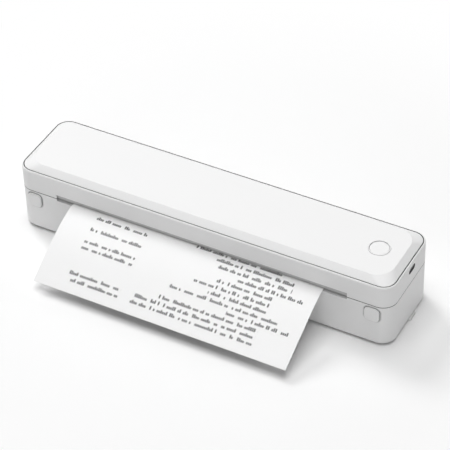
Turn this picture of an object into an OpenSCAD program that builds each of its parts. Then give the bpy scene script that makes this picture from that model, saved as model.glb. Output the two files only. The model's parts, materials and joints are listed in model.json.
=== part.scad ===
// A4 portable thermal printer: a long, low clamshell. The lower half holds the paper
// roll, the platen roller and its gear drive. The cover hinges on the rear wall and
// carries the print head, the main board and the power button.
// X runs along the body, Y to the rear, Z up. The origin is on the table, under the
// middle of the body. All sizes are in millimetres.

/* [Body] */
// Length of the closed body, end to end
body_l = 312; // [310:1:324]
// Depth of the closed body, front wall to rear wall
body_w = 68; // [68:0.5:72]
// Height of the closed body above the table
body_h = 60; // [60:0.5:64]
// Height above the table of the seam between the two halves
seam_z = 37.5; // [37.5:0.1:38]
// Radius of the body's upright corners
corner_r = 11.5; // [10:0.5:12.5]
// Wall thickness of both half shells
wall = 2; // [1.8:0.1:2.2]
// Height of the feet under the body
foot_h = 1.5; // [1.2:0.1:1.8]
// Chamfer round the bottom edge of the lower shell
bottom_chamfer = 1.2; // [0.8:0.1:1.5]

/* [Top plate] */
// Width of the shell's rim that shows round the top plate
rim_w = 1.2; // [1.1:0.05:1.4]
// Width of the groove between the rim and the plate
groove_w = 0.8; // [0.6:0.05:0.9]
// Height of the plate's sloping edge
bevel_h = 4; // [3:0.1:4.3]
// Width of the plate's sloping edge
bevel_w = 5; // [4:0.1:6]
// Radius of the flat top's corners
plateau_r = 14; // [10:0.5:14.5]

/* [Paper] */
// Width of the paper
paper_w = 210; // [190:1:212]
// Thickness of the paper sheet
paper_t = 0.2; // [0.15:0.05:0.2]
// How far the paper sits to the right of the body's middle
paper_shift = -2.4; // [-3:0.1:3]
// How far the sheet reaches out in front of the body
paper_reach = 60.5; // [40:0.5:64]
// Outer radius of the paper roll
roll_r = 15.5; // [12:0.5:15.5]
// Outer radius of the roll's cardboard core
core_r = 6.5; // [6:0.5:8]

/* [Paper slot] */
// Length of the slot that the paper leaves through
slot_l = 243; // [220:1:246]
// Height of the part of the slot in the cover
slot_up = 3.4; // [3:0.1:3.6]
// Height of the sloping lip in the lower shell
slot_down = 2.7; // [2:0.1:3]
// Depth of the recess in the cover over the paper
slot_recess = 1.3; // [1.1:0.1:1.4]

/* [Release buttons] */
// Distance of each button from the body's middle
release_x = 141.4; // [140:0.2:142]
// Width of a button
release_w = 11.8; // [10:0.2:13]
// Height of a button
release_h = 12; // [10.4:0.2:12.4]
// How far a button stands out of the front wall
release_proud = 1.5; // [1:0.1:1.8]
// Gap between a button and the wall round it
release_gap = 0.35; // [0.3:0.05:0.4]

/* [Power button] */
// Distance of the button to the right of the body's middle
power_x = 130.4; // [128:0.2:134]
// Outer radius of the ring round the button
ring_r = 8.25; // [8:0.05:8.4]
// Radius of the button's cap
cap_r = 7.2; // [6.8:0.1:7.2]
// How far the ring stands out of the plate
ring_proud = 0.35; // [0.2:0.05:0.4]

/* [USB socket] */
// Distance of the socket behind the body's middle
usb_y = 1.4; // [0:0.1:3]
// Height of the socket's middle above the table
usb_z = 49.7; // [49.5:0.1:49.8]
// Width of the opening in the end wall
usb_hole_w = 10.4; // [10:0.1:10.8]
// Height of the opening in the end wall
usb_hole_h = 4.8; // [4.4:0.1:5]

/* [Drive] */
// Radius of the rubber platen roller
platen_r = 5.5; // [5:0.1:5.5]
// Tooth size of every gear
gear_module = 0.5; // [0.5:0.5:0.5]
// Teeth on the platen's gear
platen_teeth = 24; // [22:2:24]
// Teeth on the idler's small gear
idler_small_teeth = 16; // [14:2:16]
// Teeth on the idler's large gear
idler_large_teeth = 40; // [36:2:40]
// Teeth on the motor's pinion
pinion_teeth = 12; // [12:1:14]

/* [Hinge] */
// Distance of each hinge from the body's middle
hinge_x = 105; // [95:1:115]
// Outer radius of the hinge knuckles
knuckle_r = 2.4; // [2.2:0.1:2.4]
// Radius of the hinge pins
pin_r = 1; // [0.9:0.1:1.1]

/* [Hidden] */
$fn = 72;

// Colours
shell_white = [0.95, 0.95, 0.95];
inner_grey = [0.30, 0.31, 0.33];
steel = [0.72, 0.73, 0.75];
rubber_black = [0.09, 0.09, 0.10];
nylon = [0.88, 0.87, 0.82];
paper_white = [0.99, 0.99, 0.98];

// Clearances
run_gap = 0.05;
slip_gap = 0.3;

// Body levels
floor_z = foot_h + wall;
rim_z = body_h - bevel_h;
groove_depth = 2.2;
rim_round_h = 0.9;
rim_round_w = 0.7;
ledge_z = rim_z - groove_depth;
ledge_t = 2;
ledge_w = 4;
inner_l = body_l - 2 * wall;
inner_w = body_w - 2 * wall;
inner_r = corner_r - wall;
front_y = -body_w / 2;
front_in_y = front_y + wall;
seam_groove_d = 1.3;
seam_groove_h = 0.6;

// Top plate
plate_in = rim_w + groove_w;
plate_l = body_l - 2 * plate_in;
plate_w = body_w - 2 * plate_in;
plate_r = corner_r - plate_in;
plate_roof = 2;
clip_xs = [-105, -63, -21, 21, 63, 105];

// Hinge
hinge_y = body_w / 2 - 1.6;
knuckle_l = 12;
side_knuckle_l = 8;
hinge_l = knuckle_l + 2 * side_knuckle_l + 2 * slip_gap;

// Roll bay
tray_t = 1.2;
trough_r = 16;
roll_y = 10;
trough_z = floor_z + 0.1 + tray_t + trough_r;
roll_z = trough_z - trough_r + run_gap + roll_r;
tray_l = 218;
deck_z = 35.6;
tray_rear_y = 29.3;

// Platen and the sheet over it
platen_y = -20;
platen_z = 31;
platen_l = 216;
shaft_r = 2;
nip_z = platen_z + platen_r + 0.03;

// Side frames and bearings
frame_x = 110;
frame_t = 1.5;
frame_top_z = 36;
bearing_r = 4;
foot_w = 10;
foot_screw_x = frame_x + frame_t + foot_w / 2;
foot_screw_ys = [-22, 19];
foot_screw_sink = 1.1;

// Gear train, placed from the platen by the directions of its centre lines
platen_gear_x = 113;
gear_w = 3;
large_gear_x = platen_gear_x + gear_w + 0.6;
idler_dir = -37;
motor_dir = -113;
idler_span = gear_module * (platen_teeth + idler_small_teeth) / 2;
motor_span = gear_module * (idler_large_teeth + pinion_teeth) / 2;
idler_y = platen_y + idler_span * cos(idler_dir);
idler_z = platen_z + idler_span * sin(idler_dir);
motor_y = idler_y + motor_span * cos(motor_dir);
motor_z = idler_z + motor_span * sin(motor_dir);
stud_r = 1.5;
motor_r = 9;
motor_l = 16;
motor_shaft_r = 1;

// Release buttons
release_z = 29.1;
release_r = 3.6;
release_flange = 0.8;
release_draft = 0.6;
arm_y = front_in_y + 2;
arm_t = 2.5;
arm_w = 8;
hook_top_z = 44.6;
keeper_z = 40;
keeper_t = 2;
keeper_w = 9;
keeper_reach = 1.7;
stem_r = 1.2;
stem_z = 26;
post_y = -18.7;
post_t = 1.5;

// Covers over the two ends of the lower half
end_cover_z = frame_top_z;
end_cover_t = 1.2;
end_cover_in_x = frame_x + 0.2;
end_post_xs = [118, 148];
end_post_y = 26;
end_post_r = 2.4;

// Inside of the cover
liner_z = 38.6;
liner_t = 1.5;
liner_rear_y = 29.5;
liner_screws = [[-146, 28], [0, 28], [146, 28], [-126, -28], [126, -28]];
boss_r = 2.6;
thread_r = 1;
head_window_x = 116;
head_window_y = -6.1;
carrier_l = 226;
carrier_t = 1.2;
carrier_front_y = -29.4;
carrier_rear_y = -6;
carrier_top_z = 48.7;
carrier_foot_y = 4;
carrier_screw_xs = [-90, -30, 30, 90];
pivot_y = -10;
pivot_z = 41;
pivot_r = 1.2;
head_l = 218;
head_base_z = nip_z + paper_t + 0.02;
ceramic_t = 1;
spring_seat_z = 40.2;
head_spring_xs = [-81, -27, 27, 81];
head_spring_y = -21;

// Main board
board_x = 133;
board_l = 38;
board_w = 48;
board_t = 1.6;
usb_shell_w = 8.9;
usb_shell_h = 3.2;
usb_shell_t = 0.3;
usb_shell_l = 7.4;
usb_tongue_w = 6.6;
usb_tongue_t = 0.7;
board_z = usb_z - usb_shell_h / 2 - board_t;
board_top_z = board_z + board_t;
board_posts = [[118, -21], [118, 21], [148, -21], [148, 21]];
switch_w = 6;
switch_h = 3.5;
plunger_r = 1.7;
plunger_h = 0.55;
power_y = 0.8;
power_travel = 0.5;
cap_edge = 0.3;
ring_seat_gap = 0.12;

// ---- Shapes that repeat ----

// Rounded rectangle with true arcs, centred
module rounded_rect(l, w, r) {
    square([l - 2 * r, w], center = true);
    square([l, w - 2 * r], center = true);
    for (sx = [-1, 1], sy = [-1, 1])
        translate([sx * (l / 2 - r), sy * (w / 2 - r)]) circle(r);
}

// Rounded slab from z = 0 up
module rounded_slab(l, w, r, h) {
    linear_extrude(h) rounded_rect(l, w, r);
}

// Rounded slab whose sides lean in by inset over its height
module leaning_slab(l, w, r, inset, h) {
    rotate([90, 0, 90]) linear_extrude(l - 2 * r, center = true)
        polygon([[-w / 2, 0], [w / 2, 0], [w / 2 - inset, h], [-w / 2 + inset, h]]);
    rotate([90, 0, 0]) linear_extrude(w - 2 * r, center = true)
        polygon([[-l / 2, 0], [l / 2, 0], [l / 2 - inset, h], [-l / 2 + inset, h]]);
    for (sx = [-1, 1], sy = [-1, 1])
        translate([sx * (l / 2 - r), sy * (w / 2 - r), 0]) cylinder(h = h, r1 = r, r2 = r - inset);
}

// A profile drawn in the YZ plane, run along X from x0 to x1
module along_x(x0, x1) {
    translate([x0, 0, 0]) rotate([90, 0, 90]) linear_extrude(x1 - x0) children();
}

// Cylinder along X from x0 to x1 at (y, z)
module rod_x(x0, x1, y, z, r) {
    translate([x0, y, z]) rotate([0, 90, 0]) cylinder(h = x1 - x0, r = r);
}

// Box between two corners
module box(low, high) {
    translate(low) cube(high - low);
}

// Screw pointing up: a head below z and a shank above it
module screw_up(x, y, z, head_r, head_h, shank_h) {
    translate([x, y, z - head_h]) difference() {
        cylinder(h = head_h, r = head_r);
        translate([0, 0, -1]) cylinder(h = 1 + head_h / 2, r = head_r * 0.45, $fn = 6);
    }
    translate([x, y, z - head_h / 3]) cylinder(h = shank_h + head_h / 3, r = thread_r);
}

// Involute gear, its first tooth pointing at direction phase
pressure_angle = 20;
gear_play = 0.06;
function involute(a) = tan(a) * 180 / PI - a;
function tooth_half_angle(n, r) =
    let (pitch_r = n * gear_module / 2, base_r = pitch_r * cos(pressure_angle))
    90 / n - gear_play / pitch_r * 90 / PI + involute(pressure_angle)
        - (r > base_r ? involute(acos(base_r / r)) : 0);
function gear_points(n, phase) =
    let (
        pitch_r = n * gear_module / 2,
        rs = [for (k = [-1.2, -0.6, 0, 0.45, 0.9]) pitch_r + k * gear_module],
        flank = [for (r = rs) [r, tooth_half_angle(n, r)]]
    )
    [for (k = [0 : n - 1], side = [-1, 1], i = [0 : len(rs) - 1])
        let (p = flank[side < 0 ? i : len(rs) - 1 - i], a = phase + 360 * k / n + side * p[1])
        p[0] * [cos(a), sin(a)]];
module gear(n, phase, y, z, x, w) {
    translate([x, y, z]) rotate([90, 0, 90]) linear_extrude(w) polygon(gear_points(n, phase));
}

// Coil spring standing on z = 0
ring_steps = 8;
wire_sides = 6;
spring_turns = 5;
release_spring_r = 2.1;
release_wire = 0.5;
head_spring_r = 2.8;
head_wire = 0.6;
function coil_centres(r, wire, h, turns) =
    [for (i = [0 : turns * ring_steps])
        [r * cos(360 * i / ring_steps), r * sin(360 * i / ring_steps),
            wire / 2 + (h - wire) * i / (turns * ring_steps)]];
function least_gap(path, wire) =
    min([for (i = [0 : len(path) - 1], j = [0 : len(path) - 1])
        if (j - i >= ring_steps / 2) norm(path[j] - path[i]) - wire]);
module coil_spring(r, wire, h, turns) {
    path = coil_centres(r, wire, h, turns);
    rings = len(path);
    echo("least gap between the turns of a spring", least_gap(path, wire));
    points = [for (i = [0 : rings - 1], j = [0 : wire_sides - 1])
        let (a = 360 * i / ring_steps, b = 360 * j / wire_sides)
        path[i] + wire / 2 * [cos(b) * cos(a), cos(b) * sin(a), sin(b)]];
    sides = [for (i = [0 : rings - 2], j = [0 : wire_sides - 1])
        let (a = i * wire_sides + j, b = i * wire_sides + (j + 1) % wire_sides)
        each [[a, b + wire_sides, a + wire_sides], [a, b, b + wire_sides]]];
    start = [for (j = [1 : wire_sides - 2]) [0, j + 1, j]];
    last = (rings - 1) * wire_sides;
    end = [for (j = [1 : wire_sides - 2]) [last, last + j, last + j + 1]];
    polyhedron(points, concat(sides, start, end));
}

// ---- Hinge ----

// One run of knuckle round the hinge axis
module knuckle(x0, x1, r) {
    rod_x(x0, x1, hinge_y, seam_z, r);
}

// Middle knuckles, which belong to the cover
module cover_knuckles(r, gap) {
    for (s = [-1, 1])
        knuckle(s * hinge_x - knuckle_l / 2 - gap, s * hinge_x + knuckle_l / 2 + gap, r);
}

// Outer knuckles, which belong to the lower shell
module base_knuckles(r, gap) {
    for (s = [-1, 1], e = [-1, 1]) {
        middle = s * hinge_x + e * (knuckle_l / 2 + slip_gap + side_knuckle_l / 2);
        knuckle(middle - side_knuckle_l / 2 - gap, middle + side_knuckle_l / 2 + gap, r);
    }
}

// Wedge that clears the rear edge of each half, from the hinge axis outwards
module rear_wedge() {
    along_x(-body_l, body_l)
        polygon([[hinge_y, seam_z], [hinge_y + 3, seam_z - 3], [hinge_y + 3, seam_z + 3]]);
}

module hinge_pins() {
    color(steel)
        for (s = [-1, 1])
            rod_x(s * hinge_x - hinge_l / 2, s * hinge_x + hinge_l / 2, hinge_y, seam_z, pin_r);
}

// ---- Lower half ----

// Tub with a chamfered bottom edge
module tub() {
    difference() {
        union() {
            translate([0, 0, foot_h + bottom_chamfer]) mirror([0, 0, 1])
                leaning_slab(body_l, body_w, corner_r, bottom_chamfer, bottom_chamfer);
            translate([0, 0, foot_h + bottom_chamfer])
                rounded_slab(body_l, body_w, corner_r, seam_z - foot_h - bottom_chamfer);
        }
        translate([0, 0, floor_z]) rounded_slab(inner_l, inner_w, inner_r, seam_z);
    }
}

// Groove round the top edge of the lower shell, which leaves a dark line under the cover
module seam_groove() {
    translate([0, 0, seam_z - seam_groove_h]) difference() {
        rounded_slab(body_l + 2, body_w + 2, corner_r + 1, 2 * seam_groove_h);
        translate([0, 0, -1])
            rounded_slab(body_l - 2 * seam_groove_d, body_w - 2 * seam_groove_d,
                corner_r - seam_groove_d, 4);
    }
}

// Sloping lip under the paper, cut into the front wall
lip_in_y = front_in_y + 0.6;
lip_top_z = 36.3;
module slot_lip() {
    slope = (lip_top_z - seam_z + slot_down) / (lip_in_y - front_y);
    along_x(-slot_l / 2, slot_l / 2)
        polygon([
            [front_y - 1, seam_z - slot_down - slope],
            [lip_in_y + 0.1, lip_top_z + 0.1 * slope],
            [lip_in_y + 0.1, seam_z + 1],
            [front_y - 1, seam_z + 1]
        ]);
}

// Hole through the front wall for a release button, with a pocket for its flange
module release_hole(x) {
    translate([x, front_in_y + 0.1, release_z]) rotate([90, 0, 0])
        rounded_slab(release_w + 2 * release_gap, release_h + 2 * release_gap,
            release_r + release_gap, 2 * wall);
    margin = release_flange + slip_gap;
    box([x - release_w / 2 - margin, front_in_y, release_z - release_h / 2 - margin],
        [x + release_w / 2 + margin, front_in_y + 6, seam_z + 1]);
}

// Post that guides a release button's stem and stops its spring
module spring_post(x) {
    difference() {
        box([x - 5, post_y, floor_z - 0.5], [x + 5, post_y + post_t, stem_z + 5]);
        translate([x, post_y - 1, stem_z]) rotate([-90, 0, 0]) cylinder(h = 4, r = stem_r + 0.1);
    }
}

// Rib that cradles the paper tray
module cradle_rib(x) {
    difference() {
        box([x - 1, roll_y - trough_r - 3, floor_z - 0.5], [x + 1, inner_w / 2 + 0.5, trough_z - 3]);
        rod_x(x - 2, x + 2, roll_y, trough_z, trough_r + tray_t + 0.1);
    }
}

module lower_shell() {
    color(shell_white) difference() {
        union() {
            difference() {
                union() {
                    tub();
                    box([-slot_l / 2 - 1, front_in_y - 0.5, 29.5], [slot_l / 2 + 1, lip_in_y, seam_z - 0.6]);
                }
                seam_groove();
                rear_wedge();
                slot_lip();
                for (s = [-1, 1]) release_hole(s * release_x);
                cover_knuckles(knuckle_r + slip_gap, slip_gap);
            }
            base_knuckles(knuckle_r, 0);
            for (s = [-1, 1]) spring_post(s * release_x);
            for (x = [-70, 0, 70]) cradle_rib(x);
            for (s = [-1, 1], x = end_post_xs)
                translate([s * x, end_post_y, floor_z - 0.5])
                    cylinder(h = end_cover_z - floor_z + 0.5, r = end_post_r);
        }
        base_knuckles(pin_r, 1);
        for (s = [-1, 1], x = end_post_xs)
            translate([s * x, end_post_y, end_cover_z - 8]) cylinder(h = 9, r = thread_r);
        for (s = [-1, 1], y = foot_screw_ys)
            translate([s * foot_screw_x, y, 0]) {
                cylinder(h = floor_z + 1, r = thread_r + 0.15);
                cylinder(h = foot_h + foot_screw_sink, r = 2.7);
            }
    }
}

// Rubber bars across the underside and a pad under the middle of each end
end_pad_y = 4.4;
end_pad_w = 12.4;
end_pad_l = 9;
end_pad_proud = 1.2;
end_pad_cut = 2.1;
foot_bar_xs = [-138, 0, 138];
foot_bar_w = 8;
foot_bar_l = 50;
module end_pad() {
    translate([body_l / 2 + end_pad_proud - end_pad_l, end_pad_y, 0]) linear_extrude(foot_h) polygon([
        [0, -end_pad_w / 2], [end_pad_l - end_pad_cut, -end_pad_w / 2],
        [end_pad_l, -end_pad_w / 2 + end_pad_cut], [end_pad_l, end_pad_w / 2 - end_pad_cut],
        [end_pad_l - end_pad_cut, end_pad_w / 2], [0, end_pad_w / 2]
    ]);
}

module rubber_feet() {
    color([0.80, 0.80, 0.80]) {
        for (x = foot_bar_xs)
            translate([x, 0, 0]) rounded_slab(foot_bar_w, foot_bar_l, foot_bar_w / 2 - 0.1, foot_h);
        end_pad();
        mirror([1, 0, 0]) end_pad();
    }
}

module base_screws() {
    color(steel)
        for (s = [-1, 1], y = foot_screw_ys)
            screw_up(s * foot_screw_x, y, foot_h + foot_screw_sink, 2.4, 0.9, 4);
}

// Steel side frame standing on the floor, drawn for the right end
module side_frame() {
    difference() {
        union() {
            along_x(frame_x, frame_x + frame_t) polygon([
                [-29, floor_z], [29, floor_z], [29, 30], [24, frame_top_z],
                [-26, frame_top_z], [-29, 33]
            ]);
            box([frame_x, -28, floor_z], [frame_x + frame_t + foot_w, -16, floor_z + frame_t]);
            box([frame_x, 14, floor_z], [frame_x + frame_t + foot_w, 23, floor_z + frame_t]);
        }
        rod_x(frame_x - 1, frame_x + 3, platen_y, platen_z, bearing_r);
        along_x(frame_x - 1, frame_x + 3) translate([14, 19]) rounded_rect(18, 16, 4);
        for (y = foot_screw_ys)
            translate([foot_screw_x, y, 0]) cylinder(h = 10, r = thread_r);
    }
}

module left_side_frame() {
    color(steel) mirror([1, 0, 0]) side_frame();
}

module right_side_frame() {
    color(steel) difference() {
        side_frame();
        rod_x(frame_x - 1, frame_x + 3, idler_y, idler_z, stud_r);
        rod_x(frame_x - 1, frame_x + 3, motor_y, motor_z, 3.05);
        for (s = [-1, 1]) rod_x(frame_x - 1, frame_x + 3, motor_y + s * 6, motor_z, thread_r);
    }
}

// Flanged bearing bush for the right end of the platen's shaft
module platen_bearing() {
    difference() {
        union() {
            rod_x(frame_x - 1, frame_x, platen_y, platen_z, bearing_r + 1);
            rod_x(frame_x, frame_x + frame_t + 0.8, platen_y, platen_z, bearing_r);
        }
        rod_x(frame_x - 2, frame_x + 4, platen_y, platen_z, shaft_r + run_gap);
    }
}

module left_platen_bearing() {
    color(nylon) mirror([1, 0, 0]) platen_bearing();
}

module right_platen_bearing() {
    color(nylon) platen_bearing();
}

// Trough for the roll, with a deck that leads the paper to the platen
module tray_profile() {
    out_r = trough_r + tray_t;
    difference() {
        union() {
            translate([roll_y, trough_z]) circle(out_r);
            translate([roll_y - out_r, trough_z]) square([2 * out_r, deck_z - trough_z]);
            translate([platen_y + platen_r + 0.9, deck_z - tray_t]) square([10, tray_t]);
            translate([roll_y, deck_z - tray_t]) square([tray_rear_y - roll_y, tray_t]);
        }
        translate([roll_y, trough_z]) circle(trough_r);
        translate([roll_y - trough_r, trough_z]) square([2 * trough_r, 30]);
    }
}

sensor_x = 30;
sensor_y = -10;
module paper_tray() {
    color(inner_grey) difference() {
        union() {
            along_x(-tray_l / 2, tray_l / 2) tray_profile();
            for (s = [-1, 1])
                along_x(s * tray_l / 2 - (s + 1) / 2 * tray_t, s * tray_l / 2 + (1 - s) / 2 * tray_t)
                    intersection() {
                        translate([roll_y, trough_z]) circle(trough_r + 0.5);
                        translate([roll_y - 20, 0]) square([40, 30]);
                    }
            for (x = [-100 : 20 : 100])
                box([x - 0.6, platen_y + platen_r + 1.4, deck_z - 4],
                    [x + 0.6, roll_y - trough_r - 0.5, deck_z]);
        }
        box([sensor_x - 3, sensor_y - 2, deck_z - 2], [sensor_x + 3, sensor_y + 2, deck_z + 1]);
    }
}

module paper_sensor() {
    color(rubber_black) difference() {
        box([sensor_x - 3, sensor_y - 2, deck_z - 2], [sensor_x + 3, sensor_y + 2, deck_z + 0.2]);
        for (s = [-1, 1]) translate([sensor_x + s * 1.4, sensor_y, deck_z - 0.3]) cylinder(h = 2, r = 0.8);
    }
}

// Toothed steel strip behind the lip, under the paper
tear_pitch = 2;
tear_teeth = 108;
tear_low_z = 30;
module tear_bar() {
    half = tear_teeth * tear_pitch / 2;
    top = lip_top_z + 0.05;
    color(steel) translate([0, lip_in_y + 0.5, 0]) rotate([90, 0, 0]) linear_extrude(0.5)
        polygon(concat(
            [[half, tear_low_z], [-half, tear_low_z], [-half, top - 0.8]],
            [for (i = [0 : tear_teeth - 1]) each [
                [-half + (i + 0.5) * tear_pitch, top],
                [-half + (i + 1) * tear_pitch, top - 0.8]
            ]]
        ));
}

// Inner cover over one end of the lower half, drawn for the right end
module end_cover() {
    difference() {
        translate([0, 0, end_cover_z]) intersection() {
            rounded_slab(inner_l - 0.6, inner_w - 0.6, inner_r - 0.3, end_cover_t);
            box([end_cover_in_x, -40, -1], [200, 29.3, 5]);
        }
        box([release_x - release_w / 2 - 1.5, -40, 30],
            [release_x + release_w / 2 + 1.5, arm_y + arm_t + 2.5, 40]);
        box([0, -40, 30], [slot_l / 2 + 1.5, lip_in_y + 0.8, 40]);
        for (x = end_post_xs)
            translate([x, end_post_y, end_cover_z]) {
                translate([0, 0, -1]) cylinder(h = 4, r = thread_r + 0.15);
                translate([0, 0, end_cover_t - 0.7]) cylinder(h = 4, r = 2.2);
            }
    }
}

module left_end_cover() {
    color(inner_grey) mirror([1, 0, 0]) end_cover();
}

// The right one has a window over the platen's gear
module right_end_cover() {
    color(inner_grey) difference() {
        end_cover();
        box([platen_gear_x - 0.6, platen_y - 5, 30], [platen_gear_x + gear_w + 0.3, platen_y + 5, 40]);
    }
}

module end_cover_screws() {
    color(steel)
        for (s = [-1, 1], x = end_post_xs)
            translate([s * x, end_post_y, end_cover_z + end_cover_t - 0.7]) mirror([0, 0, 1])
                screw_up(0, 0, 0, 2, 0.7, 7);
}

battery_x = -137.5;
battery_y = 4.5;
cell_l = 31;
cell_w = 35;
cell_h = 10.4;
cell_r = 2;
cell_gap = 0.2;
module battery_pack() {
    color([0.16, 0.30, 0.52])
        for (k = [0, 1])
            translate([battery_x, battery_y, floor_z + k * (cell_h + cell_gap)])
                rounded_slab(cell_l, cell_w, cell_r, cell_h);
}

module stepper_motor() {
    color(steel) difference() {
        union() {
            rod_x(frame_x - motor_l - 1, frame_x - 1, motor_y, motor_z, motor_r);
            along_x(frame_x - 1, frame_x) translate([motor_y, motor_z]) rounded_rect(18, 8, 2);
            rod_x(frame_x - 1, frame_x + 1, motor_y, motor_z, 3);
        }
        rod_x(frame_x - 10, frame_x + 2, motor_y, motor_z, motor_shaft_r + run_gap);
        for (s = [-1, 1]) rod_x(frame_x - 4, frame_x + 3, motor_y + s * 6, motor_z, thread_r);
    }
}

module motor_screws() {
    color(steel)
        for (s = [-1, 1]) {
            rod_x(frame_x - 3.5, frame_x + frame_t, motor_y + s * 6, motor_z, thread_r);
            rod_x(frame_x + frame_t, frame_x + frame_t + 0.8, motor_y + s * 6, motor_z, 1.8);
        }
}

module idler_stud() {
    color(steel) {
        rod_x(frame_x, large_gear_x + gear_w + 0.2, idler_y, idler_z, stud_r);
        rod_x(large_gear_x + gear_w + 0.15, large_gear_x + gear_w + 1, idler_y, idler_z, 2.5);
    }
}

module release_spring(x) {
    gap = post_y - arm_y - arm_t;
    color(steel) translate([x, arm_y + arm_t, stem_z]) rotate([-90, 0, 0])
        coil_spring(release_spring_r, release_wire, gap, spring_turns);
}

module left_release_spring() {
    release_spring(-release_x);
}

module right_release_spring() {
    release_spring(release_x);
}

// Sheet from the top of the roll over the platen and out of the slot, where it droops
droop_slope = 0.61;
droop_soft = 18.8;
function droop(t) = droop_slope * t * t / (t + droop_soft);
module paper_web() {
    sheet_x0 = paper_shift - paper_w / 2;
    path = concat(
        [[roll_y, roll_z + roll_r + 0.1], [platen_y, nip_z]],
        [for (i = [0 : 16]) let (t = i / 16 * paper_reach) [front_y + 0.5 - t, nip_z - droop(t)]]
    );
    top = [for (i = [len(path) - 1 : -1 : 0]) path[i] + [0, paper_t]];
    color(paper_white) along_x(sheet_x0, sheet_x0 + paper_w) polygon(concat(path, top));
}

// ---- Rollers and gears ----

module platen_shaft() {
    color(steel)
        rod_x(-frame_x - frame_t - 3, platen_gear_x + gear_w + 0.3, platen_y, platen_z, shaft_r);
}

module platen_rubber() {
    color(rubber_black) difference() {
        rod_x(-platen_l / 2, platen_l / 2, platen_y, platen_z, platen_r);
        rod_x(-platen_l, platen_l, platen_y, platen_z, shaft_r);
    }
}

module platen_gear() {
    color(nylon) difference() {
        gear(platen_teeth, idler_dir, platen_y, platen_z, platen_gear_x, gear_w);
        rod_x(platen_gear_x - 1, platen_gear_x + gear_w + 1, platen_y, platen_z, shaft_r);
    }
}

module idler_gear() {
    color(nylon) difference() {
        union() {
            gear(idler_small_teeth, idler_dir + 180 + 180 / idler_small_teeth,
                idler_y, idler_z, platen_gear_x, gear_w + 0.6);
            gear(idler_large_teeth, motor_dir, idler_y, idler_z, large_gear_x, gear_w);
        }
        rod_x(platen_gear_x - 1, large_gear_x + gear_w + 1, idler_y, idler_z, stud_r + run_gap);
        for (a = [0 : 60 : 300])
            rod_x(large_gear_x - 1, large_gear_x + gear_w + 1,
                idler_y + 6.6 * cos(a), idler_z + 6.6 * sin(a), 1.5);
    }
}

module motor_shaft() {
    color(steel) rod_x(frame_x - 9, large_gear_x + gear_w + 0.5, motor_y, motor_z, motor_shaft_r);
}

module motor_pinion() {
    color([0.80, 0.66, 0.36]) difference() {
        union() {
            gear(pinion_teeth, motor_dir + 180 + 180 / pinion_teeth, motor_y, motor_z, large_gear_x, gear_w);
            rod_x(large_gear_x - 2, large_gear_x, motor_y, motor_z, 2.2);
        }
        rod_x(large_gear_x - 3, large_gear_x + gear_w + 1, motor_y, motor_z, motor_shaft_r);
    }
}

module paper_roll() {
    x0 = paper_shift - paper_w / 2;
    color(paper_white) difference() {
        rod_x(x0, x0 + paper_w, roll_y, roll_z, roll_r);
        rod_x(x0 - 1, x0 + paper_w + 1, roll_y, roll_z, core_r);
    }
}

module paper_core() {
    x0 = paper_shift - paper_w / 2;
    color([0.66, 0.55, 0.42]) difference() {
        rod_x(x0, x0 + paper_w, roll_y, roll_z, core_r);
        rod_x(x0 - 1, x0 + paper_w + 1, roll_y, roll_z, core_r - 1.2);
    }
}

// ---- Release buttons ----

// Button, hook and guide stem in one moulding
module release(x) {
    color(shell_white) {
        translate([x, front_y - release_proud + release_draft, release_z]) rotate([90, 0, 0])
            leaning_slab(release_w, release_h, release_r, release_draft, release_draft);
        translate([x, arm_y, release_z]) rotate([90, 0, 0])
            rounded_slab(release_w, release_h, release_r,
                arm_y - front_y + release_proud - release_draft);
        translate([x, arm_y, release_z]) rotate([90, 0, 0])
            rounded_slab(release_w + 2 * release_flange, release_h + 2 * release_flange,
                release_r + release_flange, arm_y - front_in_y - run_gap);
        box([x - arm_w / 2, arm_y, release_z - release_h / 2],
            [x + arm_w / 2, arm_y + arm_t, hook_top_z - 1.4]);
        along_x(x - arm_w / 2, x + arm_w / 2) polygon([
            [arm_y + arm_t, keeper_z + keeper_t + 0.2], [arm_y + arm_t, hook_top_z],
            [arm_y + 0.6, hook_top_z], [arm_y - 1.3, keeper_z + keeper_t + 0.8],
            [arm_y - 1.3, keeper_z + keeper_t + 0.2]
        ]);
        translate([x, arm_y, stem_z]) rotate([-90, 0, 0])
            cylinder(h = post_y + post_t + 1.5 - arm_y, r = stem_r);
    }
}

module left_release() {
    release(-release_x);
}

module right_release() {
    release(release_x);
}

// ---- Cover ----

// Stadium-shaped cut-out for the USB socket
module usb_outline(w, h) {
    rounded_rect(w, h, h / 2 - 0.01);
}

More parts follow.
